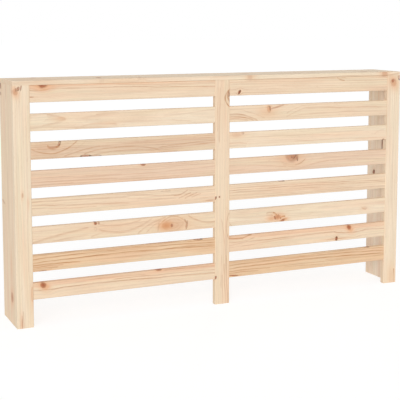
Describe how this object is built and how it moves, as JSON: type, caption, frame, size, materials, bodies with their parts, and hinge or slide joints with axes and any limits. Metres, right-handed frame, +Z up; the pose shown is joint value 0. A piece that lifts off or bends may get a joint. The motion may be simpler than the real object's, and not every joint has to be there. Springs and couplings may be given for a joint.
{
  "type": "radiator cover cabinet",
  "caption": "Slatted pine radiator cover: a board on posts and side panels, with horizontal slats tenoned between the posts, open at the back and at the bottom.",
  "frame": {"origin": "on the floor, under the middle of the cover's outline", "axes": "+X along the width, to the right seen from the room; +Y towards the wall; +Z up; the slatted front faces -Y"},
  "size_m": [1.53, 0.19, 0.84],
  "materials": {
    "pine_top": "planed and sanded pine, untreated, matt, with grain, knots and a slightly greyed upper face",
    "pine_post": "planed and sanded pine, untreated, matt, upright grain with knots and eased edges",
    "pine_slat": "planed and sanded pine, untreated, matt, level grain with knots and eased edges",
    "pine_side": "planed and sanded pine staves, untreated, matt, glued edge to edge",
    "pine_cleat": "sawn and planed softwood, untreated, matt",
    "zinc_screw": "bright zinc plated wood screw with a cross recess"
  },
  "bodies": {
    "root": {"top_board": "pine_top", "post_left": "pine_post", "post_centre": "pine_post", "post_right": "pine_post", "top_rail_left": "pine_slat", "top_rail_right": "pine_slat", "slat_left_1": "pine_slat", "slat_left_2": "pine_slat", "slat_left_3": "pine_slat", "slat_left_4": "pine_slat", "slat_left_5": "pine_slat", "slat_left_6": "pine_slat", "slat_left_7": "pine_slat", "slat_right_1": "pine_slat", "slat_right_2": "pine_slat", "slat_right_3": "pine_slat", "slat_right_4": "pine_slat", "slat_right_5": "pine_slat", "slat_right_6": "pine_slat", "slat_right_7": "pine_slat", "side_left_front_stave": "pine_side", "side_left_rear_stave": "pine_side", "side_right_front_stave": "pine_side", "side_right_rear_stave": "pine_side", "corner_cleat_left": "pine_cleat", "corner_cleat_right": "pine_cleat", "side_cleat_left": "pine_cleat", "side_cleat_right": "pine_cleat", "rail_cleat_left": "pine_cleat", "rail_cleat_right": "pine_cleat", "screw_post_left_lower": "zinc_screw", "screw_post_left_upper": "zinc_screw", "screw_post_right_lower": "zinc_screw", "screw_post_right_upper": "zinc_screw", "screw_side_left_lower": "zinc_screw", "screw_side_left_upper": "zinc_screw", "screw_side_right_lower": "zinc_screw", "screw_side_right_upper": "zinc_screw", "screw_cleat_left_front": "zinc_screw", "screw_cleat_left_rear": "zinc_screw", "screw_cleat_right_front": "zinc_screw", "screw_cleat_right_rear": "zinc_screw", "screw_top_left_end": "zinc_screw", "screw_top_left_outer": "zinc_screw", "screw_top_left_inner": "zinc_screw", "screw_top_right_end": "zinc_screw", "screw_top_right_outer": "zinc_screw", "screw_top_right_inner": "zinc_screw", "screw_rail_left_outer": "zinc_screw", "screw_rail_left_inner": "zinc_screw", "screw_rail_right_outer": "zinc_screw", "screw_rail_right_inner": "zinc_screw"}
  },
  "joints": []
}
